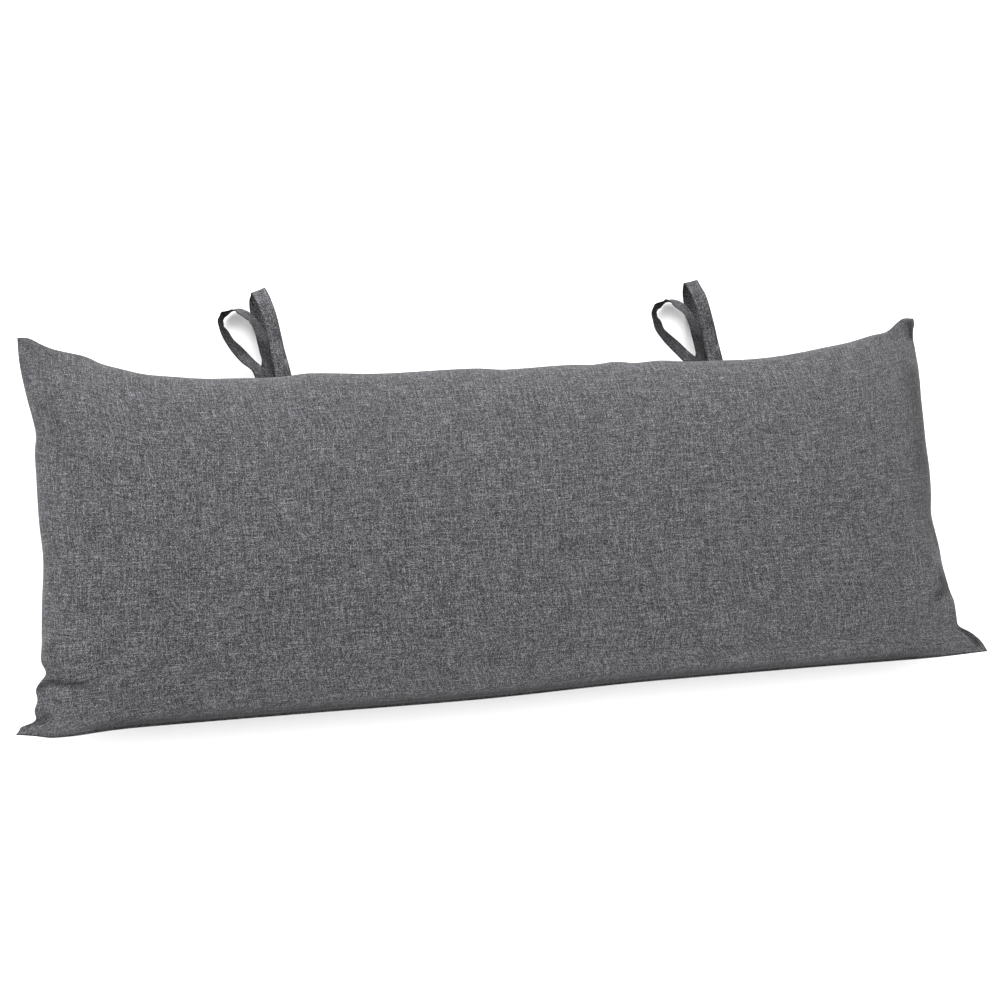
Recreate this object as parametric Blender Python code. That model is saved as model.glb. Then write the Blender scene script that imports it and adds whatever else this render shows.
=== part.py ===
"""Hammock pillow lying on its back, with two fabric ties in its upper long seam.

The origin is the middle of the flat back where it rests. +X runs along the pillow, +Y runs across it
towards the edge with the ties, and +Z points up out of the front face. All sizes are in metres.
"""
import math
from collections import namedtuple

import bpy
from mathutils import Vector

# Pillow, driving dimensions
LENGTH = 1.272          # between the tips of two ears, along a long seam
WIDTH = 0.508           # between the tips of two ears, along a short seam
SEAM_HEIGHT = 0.066     # the seam's height above the surface the pillow lies on
CROWN = 0.094           # the front's rise above the seam
SEAM_THICKNESS = 0.0024  # two cloths pressed together at the seam
OVERHANG = 0.010        # how far the filled front swells out above the seam
UNDERHANG = 0.006       # how far the filled back swells out below the seam

# How full the pillow is towards its ends, its long sides and its corners
END_POWER = 5.0
SIDE_POWER = 2.0
FULLNESS = 0.5
BACK_FULLNESS = 1.2     # over 1, the back reaches the surface and lies flat on it
EAR_REACH = 0.085       # the corners are flatter than the rest over this distance
END_BULGE_POWER = 6     # the higher, the nearer to the ends the swelling past the seam begins
SIDE_BULGE_POWER = 3    # the same for the long sides
FOLD_FADE = 4.0         # a fold of the front dies away within 1 / 4 of the rise from the seam
SHARP_ANGLE = math.radians(50.0)

# Grid of each panel
STEPS_ALONG = 60
STEPS_ACROSS = 36
END_CROWDING = 1.5      # over 1, the stations crowd towards the two ends

# Ties
STRAP_WIDTH = 0.022
STRAP_THICKNESS = 0.002
STRAP_STEPS = 50
SEAM_GAP = 0.0016       # clear space between the strap's root and the seam
ROOT_STACK = 0.0015     # a strap's two sewn ends lie this far above and below the seam

# Cloth colour, a dark heather grey
CLOTH_COLOUR = (0.135, 0.136, 0.142, 1.0)
CLOTH_ROUGHNESS = 0.9

# How far each side of the seam is drawn in from the line between its two tips; below 0, it bows out
Inset = namedtuple("Inset", "share depth")
TOP_SIDE = (
    Inset(0.00, 0.000),
    Inset(0.03, 0.014),
    Inset(0.08, 0.043),
    Inset(0.14, 0.067),
    Inset(0.20, 0.074),
    Inset(0.50, 0.074),
    Inset(0.76, 0.071),
    Inset(0.85, 0.059),
    Inset(0.92, 0.042),
    Inset(0.95, 0.027),
    Inset(0.98, 0.004),
    Inset(1.00, 0.000),
)
BOTTOM_SIDE = (
    Inset(0.00, 0.000),
    Inset(0.06, -0.006),
    Inset(0.11, -0.001),
    Inset(0.24, 0.000),
    Inset(0.42, -0.002),
    Inset(0.62, 0.002),
    Inset(0.93, 0.001),
    Inset(1.00, 0.000),
)
LEFT_SIDE = (
    Inset(0.000, 0.000),
    Inset(0.015, 0.003),
    Inset(0.032, 0.021),
    Inset(0.060, 0.023),
    Inset(0.115, 0.023),
    Inset(0.145, 0.032),
    Inset(0.200, 0.027),
    Inset(0.400, 0.034),
    Inset(0.620, 0.028),
    Inset(0.830, 0.013),
    Inset(1.000, 0.000),
)
RIGHT_SIDE = (
    Inset(0.000, 0.000),
    Inset(0.033, 0.009),
    Inset(0.063, 0.025),
    Inset(0.085, 0.037),
    Inset(0.160, 0.039),
    Inset(0.300, 0.051),
    Inset(0.500, 0.048),
    Inset(0.750, 0.025),
    Inset(0.900, 0.006),
    Inset(1.000, 0.000),
)

# Soft folds of the front: the middle in plan, the run's direction, half sizes and rise
Fold = namedtuple("Fold", "x y degrees length width rise")
FRONT_FOLDS = (
    Fold(-0.588, -0.204, -8.0, 0.038, 0.014, -0.012),
    Fold(-0.580, -0.230, -6.0, 0.034, 0.014, 0.004),
    Fold(0.584, -0.178, 30.0, 0.036, 0.014, -0.012),
    Fold(0.592, -0.208, 34.0, 0.030, 0.014, 0.005),
)

# Stations of a strap's middle line: across and out from its root, drop below the seam, and in degrees
# the strap's turn from lying flat to standing on edge, and its swing in plan
Station = namedtuple("Station", "across out drop stand swing")
BROAD = (
    Station(0.000, 0.000, -ROOT_STACK, 0.0, 0.0),
    Station(-0.003, 0.018, 0.001, 0.0, 4.0),
    Station(-0.006, 0.039, 0.003, 0.0, 9.0),
    Station(-0.012, 0.081, 0.008, 0.0, 12.0),
    Station(-0.019, 0.116, 0.016, 0.0, 15.0),
    Station(-0.025, 0.142, 0.026, 0.0, 18.0),
    Station(-0.027, 0.153, 0.039, 0.0, 18.0),
    Station(-0.028, 0.149, 0.054, 0.0, 18.0),
    Station(-0.027, 0.134, 0.062, 0.0, 18.0),
    Station(-0.022, 0.108, 0.0645, 0.0, 15.0),
    Station(-0.016, 0.078, 0.062, 0.0, 12.0),
    Station(-0.008, 0.048, 0.048, 0.0, 6.0),
    Station(-0.001, 0.020, 0.022, 0.0, 2.0),
    Station(0.000, 0.007, 0.005, 0.0, 0.0),
    Station(0.000, 0.000, ROOT_STACK, 0.0, 0.0),
)
TEARDROP = (
    Station(0.000, 0.000, -ROOT_STACK, 0.0, 0.0),
    Station(-0.003, 0.010, -0.001, 3.0, 0.0),
    Station(-0.013, 0.026, 0.005, 12.0, 0.0),
    Station(-0.032, 0.054, 0.023, 30.0, 0.0),
    Station(-0.048, 0.082, 0.038, 52.0, 0.0),
    Station(-0.053, 0.100, 0.046, 64.0, 0.0),
    Station(-0.051, 0.113, 0.050, 66.0, 4.0),
    Station(-0.045, 0.123, 0.052, 66.0, 12.0),
    Station(-0.034, 0.129, 0.053, 64.0, 28.0),
    Station(-0.021, 0.124, 0.052, 60.0, 44.0),
    Station(-0.009, 0.103, 0.047, 56.0, 34.0),
    Station(-0.003, 0.079, 0.040, 54.0, 12.0),
    Station(0.000, 0.055, 0.029, 44.0, 0.0),
    Station(0.001, 0.029, 0.017, 22.0, 0.0),
    Station(0.000, 0.010, 0.007, 4.0, 0.0),
    Station(0.000, 0.000, ROOT_STACK, 0.0, 0.0),
)

# Loops in the upper long seam: the middle of each first root, how far the loop leans along the pillow for
# each unit that it drops, how far it skews for each unit that it reaches out, and how far beside the
# first root the second one is sewn
Loop = namedtuple("Loop", "name stations root_x lean skew spread")
LOOPS = (
    Loop("tie_left_broad", BROAD, -0.3010, 0.00, 0.00, 0.003),
    Loop("tie_left_teardrop", TEARDROP, -0.3250, 0.00, 0.00, 0.003),
    Loop("tie_right_broad", BROAD, 0.3110, 0.42, 0.06, 0.000),
    Loop("tie_right_teardrop", TEARDROP, 0.2755, 0.38, 0.07, 0.012),
)


def clear_scene():
    """Remove every object."""
    for item in list(bpy.data.objects):
        bpy.data.objects.remove(item, do_unlink=True)


def cloth_material(name):
    """A matt woven cloth."""
    material = bpy.data.materials.new(name)
    material.use_nodes = True
    shader = material.node_tree.nodes["Principled BSDF"]
    shader.inputs["Base Color"].default_value = CLOTH_COLOUR
    shader.inputs["Roughness"].default_value = CLOTH_ROUGHNESS
    shader.inputs["Metallic"].default_value = 0.0
    return material


def inset_at(side, share):
    """How far a side is drawn in at a share of its length, on a smooth curve through its rows."""
    for before, after in zip(side, side[1:]):
        if share <= after.share:
            run = (share - before.share) / (after.share - before.share)
            ease = run * run * (3.0 - 2.0 * run)
            blend = 0.5 * (run + ease)
            return before.depth + (after.depth - before.depth) * blend
    return side[-1].depth


def plan_point(along, across):
    """Place a share of the length and of the width in plan, inside the seam's four drawn-in sides."""
    x = (along - 0.5) * LENGTH
    y = (across - 0.5) * WIDTH
    x += (1.0 - along) * inset_at(LEFT_SIDE, across) - along * inset_at(RIGHT_SIDE, across)
    y += (1.0 - across) * inset_at(BOTTOM_SIDE, along) - across * inset_at(TOP_SIDE, along)
    return x, y


def corner_share(along, across):
    """0 at the nearest tip, rising to 1 away from it."""
    to_end = min(along, 1.0 - along) * LENGTH
    to_side = min(across, 1.0 - across) * WIDTH
    return 1.0 - math.exp(-(to_end ** 2 + to_side ** 2) / EAR_REACH ** 2)


def swell(along, across):
    """Share of the full rise: 0 on the seam and 1 in the middle."""
    end = max(0.0, 1.0 - abs(2.0 * along - 1.0) ** END_POWER)
    side = max(0.0, 1.0 - abs(2.0 * across - 1.0) ** SIDE_POWER)
    return (end * side) ** FULLNESS * corner_share(along, across)


def push_out(x, y, along, across, amount, rise_share):
    """Move a plan point out past the seam, most where the cloth is half-way up."""
    reach = 4.0 * amount * rise_share * (1.0 - rise_share)
    from_middle = 2.0 * along - 1.0
    from_centre = 2.0 * across - 1.0
    x += reach * math.copysign(abs(from_middle) ** END_BULGE_POWER, from_middle)
    y += reach * math.copysign(abs(from_centre) ** SIDE_BULGE_POWER, from_centre)
    return x, y


def fold_rise(x, y):
    """Height that the soft folds add at a place in plan."""
    total = 0.0
    for fold in FRONT_FOLDS:
        turn = math.radians(fold.degrees)
        run = (x - fold.x) * math.cos(turn) + (y - fold.y) * math.sin(turn)
        off = (y - fold.y) * math.cos(turn) - (x - fold.x) * math.sin(turn)
        total += fold.rise * math.exp(-(run / fold.length) ** 2 - (off / fold.width) ** 2)
    return total


def front_point(along, across):
    """Point of the front panel."""
    share = swell(along, across)
    x, y = plan_point(along, across)
    x, y = push_out(x, y, along, across, OVERHANG, share)
    folds = fold_rise(x, y) * min(1.0, FOLD_FADE * share)
    return x, y, SEAM_HEIGHT + SEAM_THICKNESS / 2 + max(0.0, CROWN * share + folds)


def back_point(along, across):
    """Point of the back panel, level where it rests."""
    share = swell(along, across)
    x, y = plan_point(along, across)
    x, y = push_out(x, y, along, across, UNDERHANG, share)
    sink = math.sin(math.pi / 2 * min(1.0, BACK_FULLNESS * share))
    return x, y, (SEAM_HEIGHT - SEAM_THICKNESS / 2) * (1.0 - sink)


def stations_along():
    """Shares of the length, crowded towards the ends."""
    shares = []
    for step in range(STEPS_ALONG + 1):
        even = 2.0 * step / STEPS_ALONG - 1.0
        place = math.copysign(1.0 - (1.0 - abs(even)) ** END_CROWDING, even)
        shares.append(0.5 + 0.5 * place)
    return shares


def stations_across():
    """Shares of the width, crowded towards the long sides as on a half circle."""
    return [0.5 - 0.5 * math.cos(math.pi * step / STEPS_ACROSS) for step in range(STEPS_ACROSS + 1)]


def panel_faces(start, columns, rows, facing_up):
    """Quads of a grid of points numbered from start, row by row."""
    faces = []
    for row in range(rows - 1):
        for column in range(columns - 1):
            corner = start + row * columns + column
            quad = (corner, corner + 1, corner + columns + 1, corner + columns)
            faces.append(quad if facing_up else quad[::-1])
    return faces


def rim_places(columns, rows):
    """Grid numbers round a panel's edge, anticlockwise seen from above."""
    bottom = [column for column in range(columns - 1)]
    right = [row * columns + columns - 1 for row in range(rows - 1)]
    top = [(rows - 1) * columns + column for column in range(columns - 1, 0, -1)]
    left = [row * columns for row in range(rows - 1, 0, -1)]
    return bottom + right + top + left


def make_object(name, points, faces, material):
    """A smooth-shaded mesh object."""
    mesh = bpy.data.meshes.new(name)
    mesh.from_pydata(points, [], faces)
    mesh.shade_smooth()
    mesh.set_sharp_from_angle(angle=SHARP_ANGLE)
    mesh.materials.append(material)
    item = bpy.data.objects.new(name, mesh)
    bpy.context.scene.collection.objects.link(item)
    return item


def make_pillow():
    """Front and back panels joined by a narrow strip along the seam."""
    along = stations_along()
    across = stations_across()
    columns = len(along)
    rows = len(across)
    front = [front_point(a, b) for b in across for a in along]
    back = [back_point(a, b) for b in across for a in along]
    faces = panel_faces(0, columns, rows, facing_up=True)
    faces += panel_faces(len(front), columns, rows, facing_up=False)
    rim = rim_places(columns, rows)
    for here, ahead in zip(rim, rim[1:] + rim[:1]):
        faces.append((len(front) + here, len(front) + ahead, ahead, here))
    return make_object("pillow", front + back, faces, cloth_material("pillow_cloth"))


def curve_value(values, place):
    """Value at a place along a Catmull-Rom curve through a list of numbers."""
    last = len(values) - 1
    index = min(int(place), last - 1)
    part = place - index
    p1 = values[index]
    p2 = values[index + 1]
    p0 = values[index - 1] if index > 0 else 2.0 * p1 - p2
    p3 = values[index + 2] if index + 2 <= last else 2.0 * p2 - p1
    return 0.5 * (2.0 * p1 + (p2 - p0) * part
                  + (2.0 * p0 - 5.0 * p1 + 4.0 * p2 - p3) * part ** 2
                  + (3.0 * p1 - p0 - 3.0 * p2 + p3) * part ** 3)


def station_value(loop, column, place):
    """Value of one of a loop's columns at a place along it."""
    return curve_value([getattr(station, column) for station in loop.stations], place)


def strap_route(loop):
    """Points of a strap's middle line, and the way its width points at each."""
    root_edges = (loop.root_x - STRAP_WIDTH / 2, loop.root_x + STRAP_WIDTH / 2)
    seam_y = max(plan_point(0.5 + x / LENGTH, 1.0)[1] for x in root_edges) + SEAM_GAP
    route = []
    for step in range(STRAP_STEPS + 1):
        place = (len(loop.stations) - 1) * step / STRAP_STEPS
        drop = station_value(loop, "drop", place)
        out = station_value(loop, "out", place)
        x = loop.root_x + station_value(loop, "across", place)
        x += loop.lean * max(0.0, drop) + loop.skew * out + loop.spread * (step / STRAP_STEPS) ** 2
        middle = Vector((x, seam_y + out, SEAM_HEIGHT - drop))
        stand = math.radians(station_value(loop, "stand", place))
        swing = math.radians(station_value(loop, "swing", place))
        level = math.cos(stand)
        width_way = Vector((level * math.cos(swing), level * math.sin(swing), -math.sin(stand)))
        route.append((middle, width_way))
    return route


def make_strap(loop, material):
    """A flat strap swept along its loop, with square ends at the seam."""
    route = strap_route(loop)
    points = []
    for index, (middle, width_way) in enumerate(route):
        ahead = route[min(index + 1, len(route) - 1)][0]
        behind = route[max(index - 1, 0)][0]
        run = (ahead - behind).normalized()
        if index in (0, len(route) - 1):
            run = Vector((0.0, math.copysign(1.0, run.y), 0.0))
        side = (width_way - run * width_way.dot(run)).normalized() * STRAP_WIDTH / 2
        face = side.cross(run).normalized() * STRAP_THICKNESS / 2
        for across, over in ((-1, -1), (1, -1), (1, 1), (-1, 1)):
            points.append(middle + side * across + face * over)
    faces = [(0, 1, 2, 3)]
    for ring in range(len(route) - 1):
        start = 4 * ring
        for corner in range(4):
            ahead = (corner + 1) % 4
            faces.append((start + ahead, start + corner, start + 4 + corner, start + 4 + ahead))
    end = 4 * (len(route) - 1)
    faces.append((end + 3, end + 2, end + 1, end))
    return make_object(loop.name, points, faces, material)


def make_ties():
    """The loops of both ties, side by side in the upper long seam."""
    material = cloth_material("tie_cloth")
    for loop in LOOPS:
        make_strap(loop, material)


clear_scene()
make_pillow()
make_ties()
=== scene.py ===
"""Hammock pillow: fine cloth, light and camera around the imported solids. Metres, +Z up, +Y to the ties."""

import math
from collections import namedtuple

import bmesh
import bpy
import numpy as np
from mathutils import Matrix, Vector


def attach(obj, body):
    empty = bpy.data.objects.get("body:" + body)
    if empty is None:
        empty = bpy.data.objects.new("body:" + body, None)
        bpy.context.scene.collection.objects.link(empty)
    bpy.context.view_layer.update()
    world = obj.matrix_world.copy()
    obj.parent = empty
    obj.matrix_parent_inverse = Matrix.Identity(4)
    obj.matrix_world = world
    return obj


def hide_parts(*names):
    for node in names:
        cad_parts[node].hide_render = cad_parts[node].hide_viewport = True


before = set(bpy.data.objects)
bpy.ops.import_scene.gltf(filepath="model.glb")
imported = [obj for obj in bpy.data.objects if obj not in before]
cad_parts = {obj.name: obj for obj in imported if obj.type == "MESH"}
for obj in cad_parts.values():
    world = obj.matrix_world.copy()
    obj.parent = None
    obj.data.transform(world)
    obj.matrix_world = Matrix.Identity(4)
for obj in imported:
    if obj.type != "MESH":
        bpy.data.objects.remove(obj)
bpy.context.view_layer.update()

# Pillow, the solid's own driving dimensions
LENGTH = 1.272
WIDTH = 0.508
SEAM_HEIGHT = 0.066
CROWN = 0.094
SEAM_THICKNESS = 0.0024
OVERHANG = 0.010
UNDERHANG = 0.006
LOWER_OVERHANG = 0.4
SEAM_LIP = 0.005
RIM_REACH = 0.002
RIM_POWER = 0.5
END_POWER = 5.0
SIDE_POWER = 2.0
FULLNESS = 0.5
BACK_FULLNESS = 1.2
EAR_REACH = 0.085
END_BULGE_POWER = 6
SIDE_BULGE_POWER = 3
FOLD_FADE = 4.0

# Cut size of one panel between its seams, a little over what the filled shape needs, so that it gathers
CUT_LENGTH = 1.318
CUT_WIDTH = 0.526

# Fine grid of each panel: cells of cloth that narrow towards the ears and beside the seam
CELLS_ALONG = 138
CELLS_ACROSS = 80
END_CROWD = 1.8
END_CROWD_REACH = 0.060
SIDE_CROWD = 0.8
SIDE_CROWD_REACH = 0.170
RIM_STEP = 0.0014
CROWD_SAMPLES = 4001
CURVE_SAMPLES = 6001

# Painted shade beside the lower long seam, where the filling overhangs the stitches
UNDER_INSIDE = 0.0060
UNDER_WIDTH = 0.0050
UNDER_SHADE = 0.88
EAR_LENGTH = 0.050
UNDER_FADE = 0.070

# Camera, solved from the photograph's outline of the pillow
CAMERA_PLACE = Vector((-0.3768, -0.4627, 1.6048))
CAMERA_FORWARD = Vector((0.21206, 0.28276, -0.93546))
CAMERA_UP = Vector((0.05079, 0.95274, 0.29950))
CAMERA_LENS_MM = 44.42
CAMERA_SENSOR_MM = 36.0

# How far each side of the seam is drawn in from the line between its two tips
Inset = namedtuple("Inset", "share depth")
TOP_SIDE = (
    Inset(0.000, 0.0000),
    Inset(0.010, 0.0005),
    Inset(0.025, 0.0115),
    Inset(0.035, 0.0175),
    Inset(0.050, 0.0235),
    Inset(0.070, 0.0332),
    Inset(0.080, 0.0425),
    Inset(0.100, 0.0528),
    Inset(0.125, 0.0640),
    Inset(0.140, 0.0670),
    Inset(0.200, 0.0745),
    Inset(0.270, 0.0735),
    Inset(0.285, 0.0705),
    Inset(0.360, 0.0735),
    Inset(0.465, 0.0702),
    Inset(0.490, 0.0730),
    Inset(0.575, 0.0690),
    Inset(0.590, 0.0702),
    Inset(0.620, 0.0660),
    Inset(0.640, 0.0692),
    Inset(0.670, 0.0668),
    Inset(0.690, 0.0688),
    Inset(0.760, 0.0690),
    Inset(0.830, 0.0612),
    Inset(0.870, 0.0517),
    Inset(0.900, 0.0438),
    Inset(0.940, 0.0275),
    Inset(0.965, 0.0185),
    Inset(0.975, 0.0087),
    Inset(0.985, 0.0005),
    Inset(1.000, 0.0000),
)
BOTTOM_SIDE = (
    Inset(0.000, 0.0000),
    Inset(0.015, -0.0030),
    Inset(0.035, -0.0075),
    Inset(0.055, -0.0070),
    Inset(0.075, -0.0050),
    Inset(0.110, -0.0036),
    Inset(0.240, -0.0041),
    Inset(0.420, -0.0055),
    Inset(0.620, -0.0010),
    Inset(0.800, -0.0012),
    Inset(0.930, -0.0022),
    Inset(1.000, 0.0000),
)
LEFT_SIDE = (
    Inset(0.000, -0.0020),
    Inset(0.010, 0.0020),
    Inset(0.020, 0.0062),
    Inset(0.025, 0.0165),
    Inset(0.031, 0.0210),
    Inset(0.039, 0.0207),
    Inset(0.052, 0.0190),
    Inset(0.078, 0.0230),
    Inset(0.100, 0.0205),
    Inset(0.118, 0.0250),
    Inset(0.135, 0.0340),
    Inset(0.148, 0.0325),
    Inset(0.165, 0.0274),
    Inset(0.195, 0.0290),
    Inset(0.300, 0.0319),
    Inset(0.400, 0.0346),
    Inset(0.500, 0.0300),
    Inset(0.620, 0.0266),
    Inset(0.690, 0.0246),
    Inset(0.717, 0.0262),
    Inset(0.770, 0.0212),
    Inset(0.830, 0.0130),
    Inset(0.940, 0.0021),
    Inset(1.000, 0.0000),
)
RIGHT_SIDE = (
    Inset(0.000, -0.0010),
    Inset(0.015, 0.0016),
    Inset(0.033, 0.0064),
    Inset(0.063, 0.0228),
    Inset(0.078, 0.0360),
    Inset(0.117, 0.0358),
    Inset(0.145, 0.0364),
    Inset(0.168, 0.0366),
    Inset(0.215, 0.0446),
    Inset(0.245, 0.0485),
    Inset(0.290, 0.0496),
    Inset(0.380, 0.0538),
    Inset(0.435, 0.0478),
    Inset(0.505, 0.0418),
    Inset(0.600, 0.0366),
    Inset(0.680, 0.0300),
    Inset(0.730, 0.0254),
    Inset(0.790, 0.0175),
    Inset(0.850, 0.0104),
    Inset(0.900, 0.0068),
    Inset(0.935, 0.0055),
    Inset(0.965, 0.0018),
    Inset(0.985, -0.0025),
    Inset(1.000, -0.0022),
)

# Soft folds of the front: the middle in plan, the run's direction, half sizes and rise
Fold = namedtuple("Fold", "x y degrees length width rise")
FRONT_FOLDS = (
    Fold(-0.580, -0.226, -6.0, 0.034, 0.014, 0.004),
    Fold(-0.585, -0.180, -4.0, 0.034, 0.012, 0.003),
    Fold(-0.586, 0.084, -62.0, 0.050, 0.016, -0.004),
    Fold(0.592, -0.208, 34.0, 0.030, 0.014, 0.004),
    Fold(0.566, -0.140, 30.0, 0.034, 0.014, 0.004),
    Fold(0.300, 0.090, 38.0, 0.090, 0.014, -0.0012),
    Fold(0.360, 0.070, 40.0, 0.080, 0.013, -0.0012),
    Fold(0.430, 0.095, 42.0, 0.070, 0.012, -0.0012),
)

# Sharp creases and painted bands: a run in plan, how deep and wide the trough is, and how much painted shade
# darkens it.
# A run without depth is a band of painted shade only, or of painted light where the shade is below 0.
Crease = namedtuple("Crease", "run depth width shade")
CREASES = (
    Crease(((-0.6124, -0.2008), (-0.6048, -0.1977), (-0.5963, -0.1964), (-0.5865, -0.1976),
            (-0.5782, -0.2000), (-0.5674, -0.2028), (-0.5587, -0.2049)), 0.0060, 0.0045, 0.74),
    Crease(((-0.6160, -0.2400), (-0.6082, -0.2390), (-0.6000, -0.2350)), 0.0020, 0.0055, 0.55),
    Crease(((0.5966, -0.1670), (0.5841, -0.1670), (0.5640, -0.1760)), 0.0070, 0.0068, 0.10),
    Crease(((0.5700, -0.1720), (0.5432, -0.1841), (0.5232, -0.1897)), 0.0025, 0.0060, 0.20),
    Crease(((0.5980, -0.1640), (0.5890, -0.1560), (0.5820, -0.1470)), 0.0050, 0.0065, 0.30),
    Crease(((0.5760, -0.1500), (0.5817, -0.1555), (0.5885, -0.1600),
            (0.5980, -0.1630)), 0.0000, 0.0100, 0.95),
    Crease(((0.5790, -0.1600), (0.5730, -0.1668), (0.5640, -0.1740),
            (0.5530, -0.1790)), 0.0000, 0.0060, 0.34),
    Crease(((0.5990, 0.1480), (0.5890, 0.0921), (0.5826, 0.0453), (0.5790, 0.0200)), 0.0000, 0.0210, 0.47),
    Crease(((0.5757, 0.0007), (0.5720, -0.0423), (0.5700, -0.0848)), 0.0000, 0.0260, 0.30),
    Crease(((-0.5930, 0.1620), (-0.5841, 0.1241), (-0.5765, 0.0919),
            (-0.5762, 0.0600)), 0.0000, 0.0130, 0.21),
    Crease(((-0.5950, 0.0600), (-0.6000, -0.0400), (-0.6000, -0.1300)), 0.0000, 0.0300, -0.12),
    Crease(((-0.6000, -0.1300), (-0.5950, -0.1800), (-0.5900, -0.2350)), 0.0000, 0.0380, -0.28),
    Crease(((0.6000, -0.2150), (0.6090, -0.2240), (0.6170, -0.2320),
            (0.6240, -0.2420)), 0.0015, 0.0045, 0.68),
    Crease(((0.6290, 0.2450), (0.6285, 0.2344), (0.6265, 0.2230)), 0.0020, 0.0060, 0.72),
    Crease(((-0.6347, 0.2501), (-0.6330, 0.2480)), 0.0005, 0.0030, 0.30),
)

# Puffing by cloth simulation: only its fine wrinkles are kept, so the outline stays the modelled one
PUFF_FRAMES = 18
PUFF_SETTINGS = {
    "quality": 5,
    "mass": 0.25,
    "tension_stiffness": 40.0,
    "compression_stiffness": 20.0,
    "shear_stiffness": 8.0,
    "bending_stiffness": 0.4,
    "tension_damping": 12.0,
    "compression_damping": 12.0,
    "shear_damping": 8.0,
    "bending_damping": 1.0,
    "air_damping": 4.0,
    "use_pressure": True,
    "uniform_pressure_force": 3.0,
}
WRINKLE_CAP = 0.007
WRINKLE_GAIN = 0.4
BLUR_CELLS = 7
PIN_REACH = 0.010

# Weave, in metres of cloth: the tone of dashes, flecks and single crossings, and how far the yarns wander
YARN_PITCH = 0.00085
Grain = namedtuple("Grain", "length gain")
GRAINS = (
    Grain(0.024, 0.68),
    Grain(0.006, 0.50),
)
SPECK_GAIN = 0.6
TONE_MIDDLE = 0.36
TONE_POWER = 2.0
STRAY = 0.0012
STRAY_SCALE = 16.0
STRAY_ACROSS_SEED = 40.0
WARP_SEED = 91.3
YARN_STEP = 3.71
GRAIN_STEP = 57.1
DARK_YARN = (0.0176, 0.0171, 0.0196, 1.0)
LIGHT_YARN = (0.350, 0.346, 0.366, 1.0)
# Painted shade in the hollows between the yarns: the colour the cloth darkens to there, and the light left at
# a yarn's sides
HOLLOW_SHADE_TONE = (0.0, 0.0, 0.0, 1.0)
HOLLOW_LIGHT = 0.2
WEAVE_RELIEF = 0.00012
WEAVE_STRENGTH = 0.6

# Gloss of the cloth
CLOTH_ROUGHNESS = 0.9
SHEEN_ROUGHNESS = 0.45
GLOSS_BY_SHEEN = 2.5
PILLOW_SHEEN = 0.06
TIE_SHEEN = 0.01

# Painted shade beside the seam, where the stitches draw both panels in: narrow at the ends, wider along the
# sides
SEAM_SHADE_NARROW = 0.0018
SEAM_SHADE_WIDE = 0.0032
SEAM_SHADE_FADE = 0.090
SEAM_SHADE_TONE = 0.30
SEAM_SHADE_POWER = 1.5

# Ties: the strap's sizes, and how much darker it is painted towards both edges, over its hems
STRAP_WIDTH = 0.022
STRAP_THICKNESS = 0.002
STRAP_STEPS = 170
SEAM_GAP = 0.0016
ROOT_STACK = 0.0015
SEWN_IN = 0.009
HEM_INNER = 0.80
HEM_SHADE = 0.45

# Places along a loop: across, out of the seam and down, the degrees that the strap's width tips and turns
# there, and the painted light left on it, low on runs in shade and above 1 on lit runs
Station = namedtuple("Station", "across out drop stand swing light")
LEFT_BROAD = (
    Station(0.0000, 0.0000, -ROOT_STACK, 0.0, 0.0, 0.90),
    Station(-0.0030, 0.0260, 0.0010, 17.0, 8.0, 1.04),
    Station(-0.0065, 0.0485, 0.0030, 25.0, 16.0, 1.17),
    Station(-0.0095, 0.0735, 0.0060, 27.0, 24.0, 0.94),
    Station(-0.0135, 0.1005, 0.0100, 26.0, 30.0, 1.25),
    Station(-0.0180, 0.1205, 0.0160, 24.0, 33.0, 1.70),
    Station(-0.0220, 0.1365, 0.0240, 22.0, 33.0, 1.65),
    Station(-0.0260, 0.1510, 0.0360, 19.0, 33.0, 1.50),
    Station(-0.0275, 0.1535, 0.0490, 14.0, 30.0, 1.00),
    Station(-0.0290, 0.1470, 0.0580, 8.0, 25.0, 1.05),
    Station(-0.0280, 0.1340, 0.0630, 3.0, 19.0, 1.00),
    Station(-0.0250, 0.1165, 0.0645, 0.0, 13.0, 0.95),
    Station(-0.0220, 0.0930, 0.0600, 0.0, 8.0, 0.90),
    Station(-0.0180, 0.0655, 0.0480, 0.0, 4.0, 0.80),
    Station(-0.0125, 0.0405, 0.0300, 0.0, 2.0, 0.70),
    Station(-0.0065, 0.0190, 0.0100, 0.0, 0.0, 0.60),
    Station(0.0000, 0.0000, ROOT_STACK, 0.0, 0.0, 0.60),
)
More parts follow.
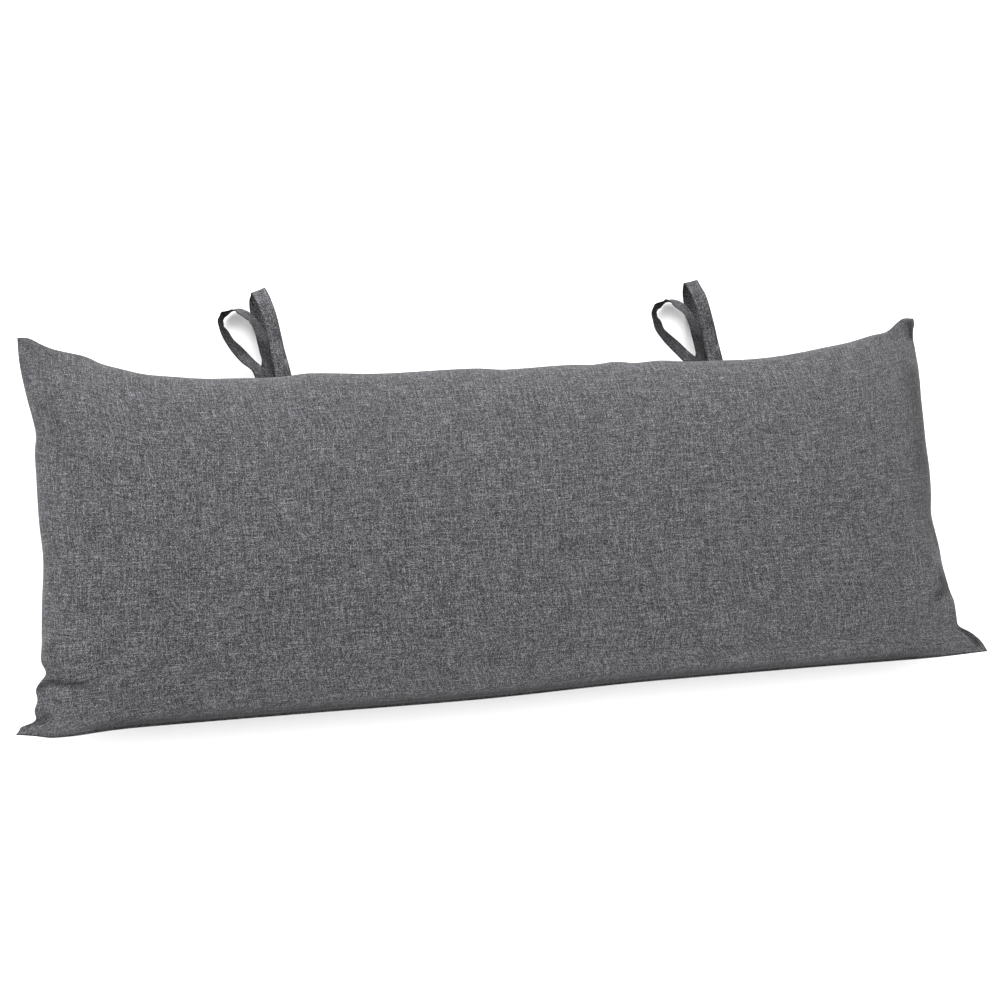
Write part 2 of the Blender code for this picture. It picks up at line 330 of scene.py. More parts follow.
LEFT_TEARDROP = (
    Station(0.0000, 0.0000, -ROOT_STACK, 0.0, 0.0, 0.75),
    Station(-0.0066, 0.0175, 0.0000, 10.0, -12.0, 0.75),
    Station(-0.0205, 0.0350, 0.0090, 20.0, 1.0, 0.78),
    Station(-0.0309, 0.0525, 0.0180, 29.0, 14.0, 0.50),
    Station(-0.0393, 0.0695, 0.0280, 39.0, 16.0, 0.42),
    Station(-0.0461, 0.0835, 0.0360, 49.0, 6.0, 0.40),
    Station(-0.0508, 0.0985, 0.0420, 59.0, 20.0, 0.34),
    Station(-0.0539, 0.1095, 0.0460, 69.0, 36.0, 0.30),
    Station(-0.0530, 0.1170, 0.0480, 71.0, 41.0, 0.30),
    Station(-0.0510, 0.1220, 0.0500, 68.0, 50.0, 0.32),
    Station(-0.0455, 0.1275, 0.0520, 62.0, 59.0, 0.40),
    Station(-0.0385, 0.1320, 0.0530, 55.0, 53.0, 0.85),
    Station(-0.0305, 0.1320, 0.0530, 47.0, 54.0, 1.30),
    Station(-0.0205, 0.1245, 0.0510, 43.0, 60.0, 1.45),
    Station(-0.0110, 0.1115, 0.0470, 47.0, 61.0, 1.55),
    Station(-0.0045, 0.0920, 0.0410, 50.0, 42.0, 1.25),
    Station(-0.0010, 0.0705, 0.0330, 46.0, 11.0, 0.66),
    Station(0.0015, 0.0500, 0.0230, 35.0, -11.0, 0.55),
    Station(0.0025, 0.0295, 0.0120, 20.0, -40.0, 0.80),
    Station(0.0000, 0.0000, ROOT_STACK, 0.0, 0.0, 0.80),
)
RIGHT_BROAD = (
    Station(0.0000, 0.0000, -ROOT_STACK, 0.0, 0.0, 0.90),
    Station(-0.0005, 0.0185, 0.0010, -7.0, 8.0, 0.92),
    Station(-0.0010, 0.0415, 0.0030, -1.0, 13.0, 0.80),
    Station(-0.0005, 0.0690, 0.0060, 3.0, 18.0, 0.74),
    Station(-0.0010, 0.0980, 0.0100, 6.0, 21.0, 0.96),
    Station(-0.0015, 0.1190, 0.0160, 4.0, 22.0, 1.16),
    Station(-0.0025, 0.1360, 0.0240, 10.0, 19.0, 1.08),
    Station(-0.0015, 0.1510, 0.0360, 10.0, 18.0, 0.98),
    Station(0.0010, 0.1535, 0.0490, 8.0, 16.0, 0.67),
    Station(0.0020, 0.1470, 0.0580, 6.0, 14.0, 0.67),
    Station(0.0040, 0.1320, 0.0630, 1.0, 11.0, 0.70),
    Station(0.0065, 0.1130, 0.0645, 1.0, 9.0, 0.80),
    Station(0.0060, 0.0880, 0.0600, 3.0, 7.0, 0.80),
    Station(0.0045, 0.0590, 0.0480, 3.0, 5.0, 0.80),
    Station(0.0020, 0.0330, 0.0300, 1.0, 5.0, 0.70),
    Station(-0.0015, 0.0130, 0.0100, -1.0, 4.0, 0.60),
    Station(0.0000, 0.0000, ROOT_STACK, 0.0, 0.0, 0.60),
)
RIGHT_TEARDROP = (
    Station(0.0000, 0.0000, -ROOT_STACK, 0.0, 0.0, 0.55),
    Station(-0.0030, 0.0070, 0.0000, 7.0, 21.0, 0.57),
    Station(-0.0120, 0.0250, 0.0090, 15.0, 24.0, 0.55),
    Station(-0.0200, 0.0435, 0.0180, 22.0, 39.0, 0.37),
    Station(-0.0260, 0.0610, 0.0280, 30.0, 38.0, 0.34),
    Station(-0.0300, 0.0760, 0.0360, 36.0, 31.0, 0.36),
    Station(-0.0305, 0.0920, 0.0420, 39.0, 39.0, 0.32),
    Station(-0.0305, 0.1040, 0.0460, 40.0, 52.0, 0.29),
    Station(-0.0285, 0.1115, 0.0480, 40.0, 42.0, 0.29),
    Station(-0.0245, 0.1170, 0.0500, 38.0, 34.0, 0.31),
    Station(-0.0170, 0.1230, 0.0520, 35.0, 33.0, 0.38),
    Station(-0.0085, 0.1280, 0.0530, 33.0, 28.0, 0.85),
    Station(0.0010, 0.1280, 0.0530, 31.0, 26.0, 1.30),
    Station(0.0110, 0.1200, 0.0510, 29.0, 47.0, 1.45),
    Station(0.0190, 0.1060, 0.0470, 32.0, 49.0, 1.35),
    Station(0.0220, 0.0850, 0.0410, 31.0, 37.0, 0.92),
    Station(0.0205, 0.0620, 0.0330, 28.0, 20.0, 0.47),
    Station(0.0180, 0.0400, 0.0230, 20.0, 6.0, 0.40),
    Station(0.0125, 0.0190, 0.0120, 12.0, -13.0, 0.50),
    Station(0.0000, 0.0000, ROOT_STACK, 0.0, 0.0, 0.55),
)

# Where each loop leaves the seam, and how far its second end is sewn in beside the first
Loop = namedtuple("Loop", "name stations root_x spread")
LOOPS = (
    Loop("tie_left_broad", LEFT_BROAD, -0.3010, 0.003),
    Loop("tie_left_teardrop", LEFT_TEARDROP, -0.3250, 0.003),
    Loop("tie_right_broad", RIGHT_BROAD, 0.3110, 0.000),
    Loop("tie_right_teardrop", RIGHT_TEARDROP, 0.2790, 0.006),
)

# A strap's section: share of the half width, and share of the half thickness, round one quarter
SECTION = (
    (0.00, 1.00),
    (0.35, 0.97),
    (0.62, 0.93),
    (0.76, 0.82),
    (0.83, 0.70),
    (0.88, 0.82),
    (0.94, 0.88),
    (0.98, 0.66),
    (1.00, 0.00),
)

# Studio: a bright sky, two lamps and a pale floor
SKY_LIGHT = 1.66
SKY_SIDE = (-0.22, 0.10, 0.0)
SKY_COLOUR = (1, 1, 1, 1)
Lamp = namedtuple("Lamp", "name place size watts")
LAMPS = (
    Lamp("key", (-0.4, 2.35, 1.65), 3.0, 137.0),
    Lamp("fill", (0.5, -2.8, 0.6), 1.4, 40.0),
)
FLOOR_CORNERS = ((-4, -4, 0), (4, -4, 0), (4, 4, 0), (-4, 4, 0))
FLOOR_COLOUR = (0.9, 0.9, 0.9, 1)
FLOOR_ROUGHNESS = 0.9


def add_object(name, data):
    """A new object in the scene."""
    made = bpy.data.objects.new(name, data)
    bpy.context.scene.collection.objects.link(made)
    return made


def new_material(name):
    """A material and its shader."""
    material = bpy.data.materials.new(name)
    material.use_nodes = True
    return material, material.node_tree.nodes["Principled BSDF"]


def lengths_along(points):
    """Length of a run of points from its start to each of them."""
    return np.concatenate([[0.0], np.cumsum(np.linalg.norm(np.diff(points, axis=0), axis=1))])


def set_cloth_data(mesh, cloth, light):
    """Store the cloth coordinates of a mesh, in metres, and the painted light and shade at its points."""
    layer = mesh.uv_layers.new(name="cloth")
    layer.data.foreach_set("uv", cloth.astype(np.float32).ravel())
    attribute = mesh.attributes.new("crease_light", "FLOAT", "POINT")
    attribute.data.foreach_set("value", light.astype(np.float32).ravel())


def through_rows(rows, shares):
    """Depths on a smooth curve through a side's rows."""
    x = np.array([row.share for row in rows])
    y = np.array([row.depth for row in rows])
    chord = np.diff(y) / np.diff(x)
    slope = np.zeros(len(x))
    slope[1:-1] = (chord[:-1] * np.diff(x)[1:] + chord[1:] * np.diff(x)[:-1]) / (x[2:] - x[:-2])
    turning = np.zeros(len(x), bool)
    turning[1:-1] = chord[:-1] * chord[1:] <= 0.0
    slope[turning] = 0.0
    slope[0] = chord[0]
    slope[-1] = chord[-1]
    index = np.clip(np.searchsorted(x, shares, side="right") - 1, 0, len(x) - 2)
    step = x[index + 1] - x[index]
    t = (shares - x[index]) / step
    start = (1.0 + 2.0 * t) * (1.0 - t) ** 2 * y[index] + t * (1.0 - t) ** 2 * step * slope[index]
    end = t ** 2 * (3.0 - 2.0 * t) * y[index + 1] + t ** 2 * (t - 1.0) * step * slope[index + 1]
    return start + end


def plan_points(a, b):
    """Plan places of shares of the length and of the width, inside the seam's drawn-in sides."""
    x = (a - 0.5) * LENGTH + (1.0 - a) * through_rows(LEFT_SIDE, b) - a * through_rows(RIGHT_SIDE, b)
    y = (b - 0.5) * WIDTH + (1.0 - b) * through_rows(BOTTOM_SIDE, a) - b * through_rows(TOP_SIDE, a)
    return x, y


def swell(a, b):
    """Share of the full rise: 0 on the seam and its lower lip and 1 in the middle, less in the ears."""
    end = np.clip(1.0 - np.abs(2.0 * a - 1.0) ** END_POWER, 0.0, 1.0)
    lip = SEAM_LIP / WIDTH
    inside = np.clip((b - lip) / (1.0 - lip), 0.0, 1.0)
    side = np.clip(1.0 - np.abs(2.0 * inside - 1.0) ** SIDE_POWER, 0.0, 1.0)
    to_end = np.minimum(a, 1.0 - a) * LENGTH
    to_side = np.minimum(b, 1.0 - b) * WIDTH
    corner = 1.0 - np.exp(-(to_end ** 2 + to_side ** 2) / EAR_REACH ** 2)
    return (end * side) ** FULLNESS * corner


def push_out(x, y, a, b, amount, share):
    """Swelling past the seam, most where the cloth is half-way up."""
    reach = 4.0 * amount * share * (1.0 - share)
    from_middle = 2.0 * a - 1.0
    from_centre = 2.0 * b - 1.0
    keep = np.where(from_centre < 0.0, LOWER_OVERHANG, 1.0)
    x = x + reach * np.sign(from_middle) * np.abs(from_middle) ** END_BULGE_POWER
    y = y + reach * keep * np.sign(from_centre) * np.abs(from_centre) ** SIDE_BULGE_POWER
    return x, y


def fold_rise(x, y):
    """Height that the soft folds add."""
    total = np.zeros_like(x)
    for fold in FRONT_FOLDS:
        turn = math.radians(fold.degrees)
        run = (x - fold.x) * math.cos(turn) + (y - fold.y) * math.sin(turn)
        off = (y - fold.y) * math.cos(turn) - (x - fold.x) * math.sin(turn)
        total += fold.rise * np.exp(-(run / fold.length) ** 2 - (off / fold.width) ** 2)
    return total


def run_distance(x, y, run):
    """Distance in plan from a crease's run."""
    nearest = np.full_like(x, np.inf)
    for (x0, y0), (x1, y1) in zip(run[:-1], run[1:]):
        span = (x1 - x0) ** 2 + (y1 - y0) ** 2
        t = np.clip(((x - x0) * (x1 - x0) + (y - y0) * (y1 - y0)) / span, 0.0, 1.0)
        nearest = np.minimum(nearest, np.hypot(x - x0 - t * (x1 - x0), y - y0 - t * (y1 - y0)))
    return nearest


def crease_fields(x, y):
    """How deep the creases press the cloth down, and the painted light left on the cloth by the creases and
    painted bands.
    """
    depth = np.zeros_like(x)
    light = np.ones_like(x)
    for crease in CREASES:
        near = np.exp(-(run_distance(x, y, crease.run) / crease.width) ** 2)
        depth += crease.depth * near
        light *= 1.0 - crease.shade * near
    return depth, light


def under_seam_painted_light(a, b):
    """Painted light left beside the lower seam."""
    away = np.abs(b * WIDTH - UNDER_INSIDE) / UNDER_WIDTH
    along = np.clip((np.minimum(a, 1.0 - a) * LENGTH - EAR_LENGTH) / UNDER_FADE, 0.0, 1.0)
    return 1.0 - UNDER_SHADE * along * np.exp(-away)


def rim_lip(a, b):
    """0 on the seam, rising to 1 over the first few millimetres of cloth."""
    to_seam = np.minimum(np.minimum(a, 1.0 - a) * LENGTH, np.minimum(b, 1.0 - b) * WIDTH)
    return np.clip(to_seam / RIM_REACH, 0.0, 1.0) ** RIM_POWER


def front_points(a, b):
    """Front panel as an array of points."""
    share = swell(a, b)
    x, y = plan_points(a, b)
    x, y = push_out(x, y, a, b, OVERHANG, share)
    folds = fold_rise(x, y) * np.minimum(1.0, FOLD_FADE * share) - crease_fields(x, y)[0]
    lip = SEAM_THICKNESS / 2 * rim_lip(a, b)
    return np.stack([x, y, SEAM_HEIGHT + lip + np.maximum(0.0, CROWN * share + folds)], axis=-1)


def back_points(a, b):
    """Back panel as an array of points, level where it rests."""
    share = swell(a, b)
    x, y = plan_points(a, b)
    x, y = push_out(x, y, a, b, UNDERHANG, share)
    sink = np.sin(math.pi / 2 * np.minimum(1.0, BACK_FULLNESS * share))
    lip = SEAM_THICKNESS / 2 * rim_lip(a, b)
    return np.stack([x, y, (SEAM_HEIGHT - lip) * (1.0 - sink)], axis=-1)


def crowded(cells, crowd, reach):
    """Places from 0 to 1 for the ends of the cells, closer together near both ends."""
    fine = np.linspace(0.0, 1.0, CROWD_SAMPLES)
    density = 1.0 + crowd * (np.exp(-(fine / reach) ** 2) + np.exp(-((1.0 - fine) / reach) ** 2))
    total = np.concatenate([[0.0], np.cumsum(density[1:] + density[:-1])])
    return np.interp(np.linspace(0.0, total[-1], cells + 1), total, fine)


def cloth_shares(points, shares, inner):
    """Shares at places of cloth along a curve of points, with a narrow rim step at both ends."""
    length = lengths_along(points)
    total = length[-1]
    places = np.concatenate([[0.0, RIM_STEP], inner[1:-1] * total, [total - RIM_STEP, total]])
    return np.interp(places, length, shares), places / total


def pillow_grid():
    """Shares of the grid's columns and rows, and how far along the cut cloth each lies."""
    fine = np.linspace(0.0, 1.0, CURVE_SAMPLES)
    middle = np.full_like(fine, 0.5)
    columns = crowded(CELLS_ALONG, END_CROWD, END_CROWD_REACH)
    rows = crowded(CELLS_ACROSS, SIDE_CROWD, SIDE_CROWD_REACH)
    a, cloth_a = cloth_shares(front_points(fine, middle), fine, columns)
    b, cloth_b = cloth_shares(front_points(middle, fine), fine, rows)
    return a, cloth_a, b, cloth_b


def join_panels(front, back):
    """Points of the closed mesh: all of the front, then the back inside the seam that both share."""
    return np.concatenate([front.reshape(-1, 3), back[1:-1, 1:-1].reshape(-1, 3)])


def split_panels(points, rows, columns):
    """Points of the closed mesh as front and back arrays in rows and columns."""
    front = points[:rows * columns].reshape(rows, columns, 3).copy()
    back = front.copy()
    back[1:-1, 1:-1] = points[rows * columns:].reshape(rows - 2, columns - 2, 3)
    return front, back


def cell_corners(grid, turn):
    """A grid's values round each of its cells, one row a cell, the other way round where turn is -1."""
    corners = (grid[:-1, :-1], grid[:-1, 1:], grid[1:, 1:], grid[1:, :-1])
    return np.stack([corner.ravel() for corner in corners[::turn]], axis=-1)


def make_pillow():
    """Both panels as one closed mesh that shares the seam's points."""
    a, cloth_a, b, cloth_b = pillow_grid()
    grid_a, grid_b = np.meshgrid(a, b)
    flat_u, flat_v = np.meshgrid(cloth_a * CUT_LENGTH, cloth_b * CUT_WIDTH)
    front = front_points(grid_a, grid_b)
    points = join_panels(front, back_points(grid_a, grid_b))
    rows, columns = grid_a.shape
    front_numbers = np.arange(rows * columns).reshape(rows, columns)
    back_numbers = front_numbers.copy()
    back_numbers[1:-1, 1:-1] = np.arange(rows * columns, len(points)).reshape(rows - 2, columns - 2)
    faces = []
    cloth = []
    for numbers, shift, turn in ((front_numbers, 0.0, 1), (back_numbers, 2.0 * CUT_LENGTH, -1)):
        faces.append(cell_corners(numbers, turn))
        cloth.append(np.stack([cell_corners(flat_u, turn) + shift, cell_corners(flat_v, turn)], axis=-1))
    # Painted shade in the creases and painted bands, and beside the lower seam
    front_light = crease_fields(front[..., 0], front[..., 1])[1] * under_seam_painted_light(grid_a, grid_b)
    mesh = bpy.data.meshes.new("pillow_cloth")
    mesh.from_pydata(points.tolist(), [], np.concatenate(faces).tolist())
    light = np.concatenate([front_light.ravel(), np.ones(len(points) - front_light.size)])
    set_cloth_data(mesh, np.concatenate(cloth), light)
    mesh.shade_smooth()
    return add_object("pillow_cloth", mesh)


def blurred(field, cells):
    """A field of vectors on the grid, averaged over a soft window along both ways."""
    reach = 2 * cells
    weights = np.exp(-0.5 * (np.arange(-reach, reach + 1) / cells) ** 2)
    weights /= weights.sum()
    for axis in (0, 1):
        padding = [(0, 0)] * field.ndim
        padding[axis] = (reach, reach)
        padded = np.pad(field, padding, mode="edge")
        total = np.zeros_like(field)
        for step, weight in enumerate(weights):
            window = [slice(None)] * field.ndim
            window[axis] = slice(step, step + field.shape[axis])
            total += weight * padded[tuple(window)]
        field = total
    return field


def mesh_points(mesh):
    """A mesh's points, one row each."""
    flat = np.zeros(len(mesh.vertices) * 3)
    mesh.vertices.foreach_get("co", flat)
    return flat.reshape(-1, 3)


def puffed_points(pillow, rest):
    """Points after a cloth simulation whose springs have the lengths of the flat cut."""
    pillow.shape_key_add(name="filled")
    cut = pillow.shape_key_add(name="cut")
    cut.data.foreach_set("co", rest.astype(np.float32).ravel())
    cloth = pillow.modifiers.new("puff", "CLOTH")
    for name, value in PUFF_SETTINGS.items():
        setattr(cloth.settings, name, value)
    cloth.settings.effector_weights.gravity = 0.0
    cloth.settings.vertex_group_mass = "pinned"
    cloth.settings.rest_shape_key = cut
    cloth.collision_settings.use_collision = False
    cloth.collision_settings.use_self_collision = False
    cloth.point_cache.frame_start = 1
    cloth.point_cache.frame_end = PUFF_FRAMES
    scene = bpy.context.scene
    for step in range(1, PUFF_FRAMES + 1):
        scene.frame_set(step)
    moved = mesh_points(pillow.evaluated_get(bpy.context.evaluated_depsgraph_get()).to_mesh())
    pillow.modifiers.remove(cloth)
    pillow.shape_key_clear()
    scene.frame_set(1)
    return moved


def add_wrinkles(pillow):
    """Lay the simulation's fine wrinkles over the modelled shape."""
    a, cloth_a, b, cloth_b = pillow_grid()
    rows, columns = len(b), len(a)
    front, back = split_panels(mesh_points(pillow.data), rows, columns)
    u, v = np.meshgrid((cloth_a - 0.5) * CUT_LENGTH, (cloth_b - 0.5) * CUT_WIDTH)
    to_seam = np.minimum(CUT_LENGTH / 2 - np.abs(u), CUT_WIDTH / 2 - np.abs(v))
    hold = np.clip(1.0 - to_seam / PIN_REACH, 0.0, 1.0)
    pinned = pillow.vertex_groups.new(name="pinned")
    for index, weight in enumerate(np.concatenate([hold.ravel(), hold[1:-1, 1:-1].ravel()])):
        if weight > 0.0:
            pinned.add([index], float(weight), "REPLACE")
    apart = SEAM_THICKNESS * (1.0 - hold)
    rest = join_panels(np.stack([u, v, SEAM_HEIGHT + apart], -1), np.stack([u, v, SEAM_HEIGHT - apart], -1))
    moved = split_panels(puffed_points(pillow, rest), rows, columns)
    pillow.vertex_groups.clear()
    for points, after in zip((front, back), moved):
        change = after - points
        wrinkle = WRINKLE_GAIN * (change - blurred(change, BLUR_CELLS))
        size = np.linalg.norm(wrinkle, axis=-1, keepdims=True)
        wrinkle *= np.minimum(1.0, WRINKLE_CAP / np.maximum(size, 1e-9))
        points += wrinkle * (1.0 - hold[..., None])
    back[..., 2] = np.maximum(back[..., 2], 0.0)
    pillow.data.vertices.foreach_set("co", join_panels(front, back).astype(np.float32).ravel())
    pillow.data.update()


class Graph:
    """A material's nodes, added one at a time."""

    def __init__(self, tree):
        self.tree = tree

    def node(self, kind, inputs=(), **settings):
        """A node with its settings, and inputs given as (name or number, value or output)."""
        made = self.tree.nodes.new("ShaderNode" + kind)
        for name, value in settings.items():
            setattr(made, name, value)
        for key, value in inputs:
            if isinstance(value, bpy.types.NodeSocket):
                self.tree.links.new(value, made.inputs[key])
            else:
                made.inputs[key].default_value = value
        return made

    def math(self, operation, first, second=0.0, third=0.0):
        """Output of a Math node."""
        places = ((0, first), (1, second), (2, third))
        return self.node("Math", places, operation=operation).outputs[0]

    def vector(self, x, y, z=0.0):
        """Three values as a vector."""
        return self.node("CombineXYZ", ((0, x), (1, y), (2, z))).outputs[0]

    def noise(self, place, scale=1.0, detail=0.0):
        """Soft noise about 0.5 in two dimensions."""
        inputs = (("Vector", place), ("Scale", scale), ("Detail", detail))
        return self.node("TexNoise", inputs, noise_dimensions="2D").outputs[0]

    def between(self, share, first, second):
        """A value between two."""
        return self.node("Mix", ((0, share), (2, first), (3, second))).outputs[0]

    def blend(self, share, first, second):
        """A colour between two."""
        mix = self.node("Mix", (("Factor", share), ("A", first), ("B", second)), data_type="RGBA")
        return mix.outputs["Result"]


def stray(graph, place, seed):
    """How far the yarns wander off their straight lines."""
    moved = graph.node("VectorMath", ((0, place), (1, (seed, seed, 0.0))), operation="ADD").outputs[0]
    return graph.math("MULTIPLY_ADD", graph.noise(moved, scale=STRAY_SCALE, detail=1.0), 2.0 * STRAY, -STRAY)


def yarn_tone(graph, along, across, seed):
    """Tone along each yarn, light or dark for a dash or a fleck at a time, and the yarn's number."""
    number = graph.math("FLOOR", graph.math("DIVIDE", across, YARN_PITCH))
    tone = TONE_MIDDLE
    for step, grain in enumerate(GRAINS):
        row = graph.math("MULTIPLY_ADD", number, YARN_STEP, seed + GRAIN_STEP * step)
        noise = graph.noise(graph.vector(graph.math("DIVIDE", along, grain.length), row))
        tone = graph.math("MULTIPLY_ADD", graph.math("SUBTRACT", noise, 0.5), grain.gain, tone)
    return tone, number


def yarn_round(graph, across):
    """Height across a yarn, 0 at its sides and 1 on its middle."""
    turn = graph.math("MULTIPLY", graph.math("DIVIDE", across, YARN_PITCH), math.pi)
    return graph.math("ABSOLUTE", graph.math("SINE", turn))


def seam_shade(graph, u, v, length, width):
    """Painted shade beside the seam, where the stitches draw both panels in."""
    to_end = graph.math("PINGPONG", u, length / 2)
    to_side = graph.math("PINGPONG", v, width / 2)
    wide = graph.node("Clamp", ((0, graph.math("DIVIDE", to_end, SEAM_SHADE_FADE)),)).outputs[0]
    side = graph.math("DIVIDE", to_side, graph.math("MULTIPLY_ADD", wide, SEAM_SHADE_WIDE, SEAM_SHADE_NARROW))
    near = graph.math("MINIMUM", side, graph.math("DIVIDE", to_end, SEAM_SHADE_NARROW))
    share = graph.node("Clamp", ((0, near),)).outputs[0]
    return graph.between(graph.math("POWER", share, SEAM_SHADE_POWER), SEAM_SHADE_TONE, 1.0)


def cloth_material(name, sheen, panel=None):
    """Heather plain weave: light and dark yarns over and under each other, with painted shade in the hollows
    between yarns and beside a panel's seam, and the painted light and shade stored on the mesh's points.
    """
    material, shader = new_material(name)
    tree = material.node_tree
    graph = Graph(tree)
    place = graph.node("UVMap", uv_map="cloth").outputs[0]
    flat = graph.node("SeparateXYZ", ((0, place),)).outputs
    u = graph.math("ADD", flat[0], stray(graph, place, 0.0))
    v = graph.math("ADD", flat[1], stray(graph, place, STRAY_ACROSS_SEED))
    weft, row = yarn_tone(graph, u, v, 0.0)
    warp, column = yarn_tone(graph, v, u, WARP_SEED)
    over = graph.math("PINGPONG", graph.math("ADD", row, column), 1.0)
    tone = graph.between(over, weft, warp)
    speck = graph.node("TexWhiteNoise", ((0, graph.vector(column, row)),), noise_dimensions="2D").outputs[0]
    tone = graph.math("ADD", tone, graph.math("MULTIPLY_ADD", speck, SPECK_GAIN, -SPECK_GAIN / 2))
    tone = graph.math("POWER", graph.node("Clamp", ((0, tone),)).outputs[0], TONE_POWER)
    height = graph.between(over, yarn_round(graph, v), yarn_round(graph, u))
    # Painted light and shade: darker in the hollows between yarns, beside the seam and where the points'
    # painted light is low
    lit = graph.math("MULTIPLY_ADD", height, 1.0 - HOLLOW_LIGHT, HOLLOW_LIGHT)
    if panel:
        lit = graph.math("MULTIPLY", lit, seam_shade(graph, flat[0], flat[1], *panel))
    # Painted light and shade stored on the mesh's points darken or lighten the colour
    lit = graph.math("MULTIPLY", lit, graph.node("Attribute", attribute_name="crease_light").outputs["Fac"])
    colour = graph.blend(lit, HOLLOW_SHADE_TONE, graph.blend(tone, DARK_YARN, LIGHT_YARN))
    tree.links.new(colour, shader.inputs["Base Color"])
    bump = graph.node("Bump", (("Height", height), ("Strength", WEAVE_STRENGTH), ("Distance", WEAVE_RELIEF)))
    tree.links.new(bump.outputs[0], shader.inputs["Normal"])
    shader.inputs["Roughness"].default_value = CLOTH_ROUGHNESS
    shader.inputs["Specular IOR Level"].default_value = GLOSS_BY_SHEEN * sheen
    shader.inputs["Sheen Weight"].default_value = sheen
    shader.inputs["Sheen Roughness"].default_value = SHEEN_ROUGHNESS
    return material


def dress_pillow():
    """The pillow with its wrinkles and its weave, on the root body, with the imported solid hidden."""
    pillow = make_pillow()
    add_wrinkles(pillow)
    fine = pillow.modifiers.new("fine", "SUBSURF")
    fine.levels = 1
    fine.render_levels = 1
    pillow.data.materials.append(cloth_material("pillow_weave", PILLOW_SHEEN, (CUT_LENGTH, CUT_WIDTH)))
    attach(pillow, "root")
    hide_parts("pillow")


def curve_value(values, place):
    """Value at a place along a Catmull-Rom curve through a list of numbers."""
    last = len(values) - 1
    index = min(int(place), last - 1)
    part = place - index
    p1 = values[index]
    p2 = values[index + 1]
    p0 = values[index - 1] if index > 0 else 2.0 * p1 - p2
    p3 = values[index + 2] if index + 2 <= last else 2.0 * p2 - p1
    return 0.5 * (2.0 * p1 + (p2 - p0) * part
                  + (2.0 * p0 - 5.0 * p1 + 4.0 * p2 - p3) * part ** 2
                  + (3.0 * p1 - p0 - 3.0 * p2 + p3) * part ** 3)


def seam_place(x):
    """Y of the upper long seam at an x of the pillow."""
    share = np.array([0.5 + x / LENGTH])
    return float(plan_points(share, np.array([1.0]))[1][0])


def strap_route(loop):
    """Middle points of a strap and the way its width points at each, from inside the seam and back."""
    root_edges = (loop.root_x - STRAP_WIDTH / 2, loop.root_x + STRAP_WIDTH / 2)
    seam_y = max(seam_place(x) for x in root_edges) + SEAM_GAP
    columns = {key: [getattr(station, key) for station in loop.stations] for key in Station._fields}
    places = []
    ways = []
    lights = []
    for step in range(STRAP_STEPS + 1):
        place = (len(loop.stations) - 1) * step / STRAP_STEPS
        across, out, drop, stand, swing, light = (curve_value(columns[key], place) for key in Station._fields)
        lights.append(light)
        x = loop.root_x + across + loop.spread * (step / STRAP_STEPS) ** 2
        places.append((x, seam_y + out, SEAM_HEIGHT - drop))
        level = math.cos(math.radians(stand))
        turn = math.radians(swing)
        ways.append((level * math.cos(turn), level * math.sin(turn), -math.sin(math.radians(stand))))
    places = np.array(places)
    ways = np.array(ways)
    inward = np.array([(0.0, -SEWN_IN * k / 3, 0.0) for k in (3, 2, 1)])
    places = np.concatenate([places[0] + inward, places, places[-1] + inward[::-1]])
    ways = np.concatenate([ways[:1].repeat(3, 0), ways, ways[-1:].repeat(3, 0)])
    return places, ways, np.pad(lights, 3, mode="edge")


def strap_frames(places, ways):
    """Unit vectors across the strap and out of its face, at each place."""
    run = np.gradient(places, axis=0)
    run /= np.linalg.norm(run, axis=1, keepdims=True)
    side = ways - run * (ways * run).sum(1, keepdims=True)
    side /= np.linalg.norm(side, axis=1, keepdims=True)
    return side, np.cross(side, run)


def section_points():
    """Section of a strap, once round, as shares of the half width and half thickness."""
    quarter = np.array(SECTION)
    right = np.concatenate([quarter, quarter[-2::-1] * (1, -1)])
    left = right[-2:0:-1] * (-1, 1)
    return np.concatenate([right, left])


def strap_faces(rings, count):
    """Faces between the rings of a strap, and one that closes each end."""
    faces = []
    for ring in range(rings - 1):
        for corner in range(count):
            ahead = (corner + 1) % count
            faces.append((ring * count + corner, ring * count + ahead,
                          (ring + 1) * count + ahead, (ring + 1) * count + corner))
    faces.append(tuple(range(count))[::-1])
    faces.append(tuple((rings - 1) * count + k for k in range(count)))
    return faces


def strap_cloth(length, around):
    """Cloth coordinates for the corners of a strap's faces, in the faces' order."""
    cloth = []
    for start, end in zip(length[:-1], length[1:]):
        for low, high in zip(around[:-1], around[1:]):
            cloth += [(low, start), (high, start), (high, end), (low, end)]
    cloth += [(0.0, 0.0)] * (2 * (len(around) - 1))
    return np.array(cloth)


def make_strap(loop, material):
    """One tie loop: a folded strip with softly rounded edges, tucked into the seam at both ends."""
    places, ways, lights = strap_route(loop)
    side, face = strap_frames(places, ways)
    section = section_points()
    half_width = STRAP_WIDTH / 2
    half_thick = STRAP_THICKNESS / 2
    points = (places[:, None] + side[:, None] * section[None, :, :1] * half_width
              + face[:, None] * section[None, :, 1:] * half_thick)
    mesh = bpy.data.meshes.new(loop.name + "_cloth")
    mesh.from_pydata(points.reshape(-1, 3).tolist(), [], strap_faces(len(places), len(section)))
    length = lengths_along(places)
    around = lengths_along(np.vstack([section, section[:1]]) * (half_width, half_thick))
    hems = 1.0 - HEM_SHADE * np.clip((np.abs(section[:, 0]) - HEM_INNER) / (1.0 - HEM_INNER), 0.0, 1.0)
    set_cloth_data(mesh, strap_cloth(length, around), np.outer(lights, hems))
    shell = bmesh.new()
    shell.from_mesh(mesh)
    bmesh.ops.recalc_face_normals(shell, faces=shell.faces)
    shell.to_mesh(mesh)
    shell.free()
    mesh.shade_smooth()
    mesh.materials.append(material)
    strap = add_object(loop.name + "_cloth", mesh)
    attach(strap, "root")
    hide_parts(loop.name)


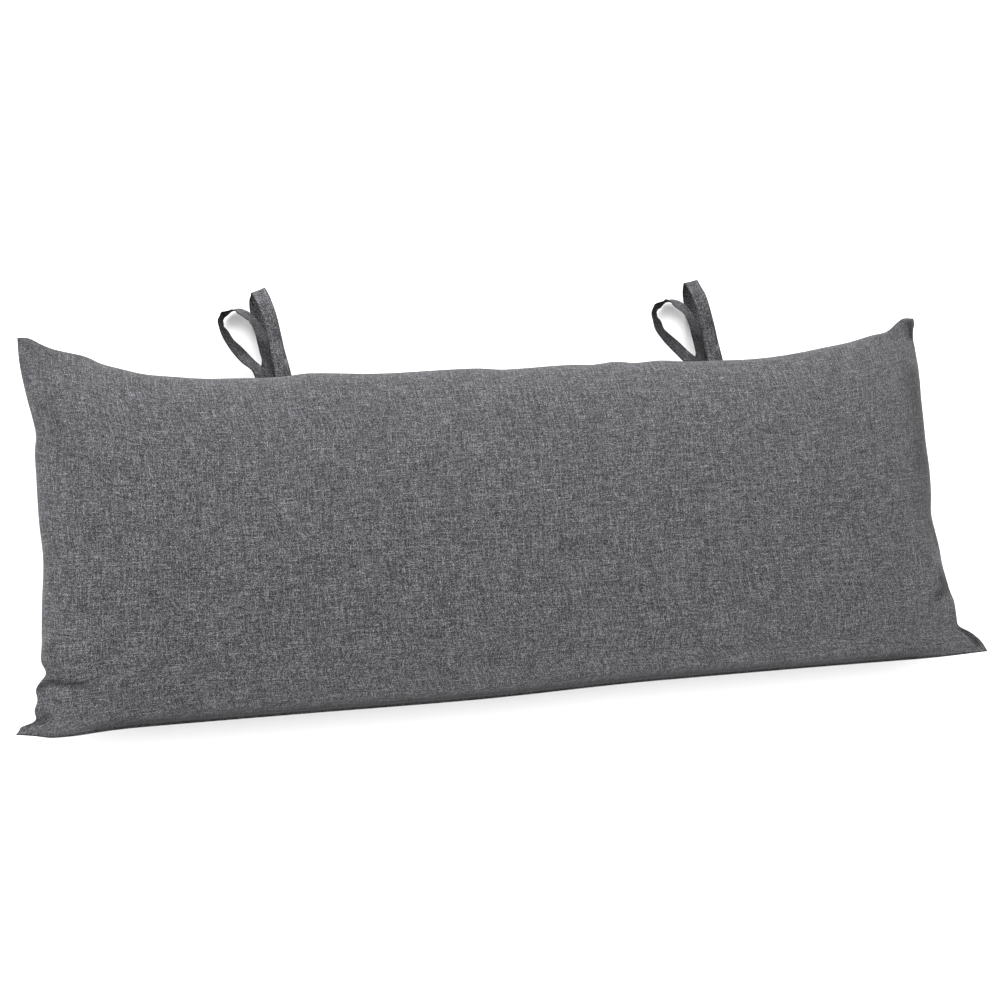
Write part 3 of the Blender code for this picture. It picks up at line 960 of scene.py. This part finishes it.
def clear_spare_meshes():
    """Take out every mesh that isn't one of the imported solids."""
    for item in [o for o in bpy.data.objects if o.type == "MESH" and o.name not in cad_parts]:
        bpy.data.objects.remove(item)


def make_camera():
    """The photograph's viewing angle."""
    data = bpy.data.cameras.new("camera")
    data.lens = CAMERA_LENS_MM
    data.sensor_width = CAMERA_SENSOR_MM
    camera = add_object("camera", data)
    back = -CAMERA_FORWARD.normalized()
    right = CAMERA_UP.cross(back).normalized()
    up = back.cross(right)
    turn = Matrix((right, up, back)).transposed().to_4x4()
    camera.matrix_world = Matrix.Translation(CAMERA_PLACE) @ turn
    bpy.context.scene.camera = camera


def make_sky():
    """Light from all round, brighter towards one side."""
    world = bpy.data.worlds.new("studio")
    world.use_nodes = True
    graph = Graph(world.node_tree)
    way = graph.node("TexCoord").outputs["Generated"]
    side = graph.node("VectorMath", ((0, way), (1, SKY_SIDE)), operation="DOT_PRODUCT").outputs["Value"]
    sky = graph.math("MULTIPLY_ADD", side, SKY_LIGHT, SKY_LIGHT)
    background = world.node_tree.nodes["Background"]
    background.inputs["Color"].default_value = SKY_COLOUR
    world.node_tree.links.new(sky, background.inputs["Strength"])
    bpy.context.scene.world = world


def make_floor():
    """A plain pale floor."""
    mesh = bpy.data.meshes.new("floor")
    mesh.from_pydata(FLOOR_CORNERS, [], [(0, 1, 2, 3)])
    floor = add_object("floor", mesh)
    paint, shader = new_material("floor_paint")
    shader.inputs["Base Color"].default_value = FLOOR_COLOUR
    shader.inputs["Roughness"].default_value = FLOOR_ROUGHNESS
    mesh.materials.append(paint)


def make_lamps():
    """Soft square lamps that face the origin."""
    for lamp in LAMPS:
        light = bpy.data.lights.new(lamp.name, "AREA")
        light.energy = lamp.watts
        light.size = lamp.size
        aim = Vector(lamp.place).to_track_quat("Z", "Y").to_matrix().to_4x4()
        add_object(lamp.name, light).matrix_world = Matrix.Translation(lamp.place) @ aim


clear_spare_meshes()
make_camera()
dress_pillow()
tie_weave = cloth_material("tie_weave", TIE_SHEEN)
for loop in LOOPS:
    make_strap(loop, tie_weave)
make_sky()
make_floor()
make_lamps()
bpy.context.scene.view_settings.view_transform = "Standard"
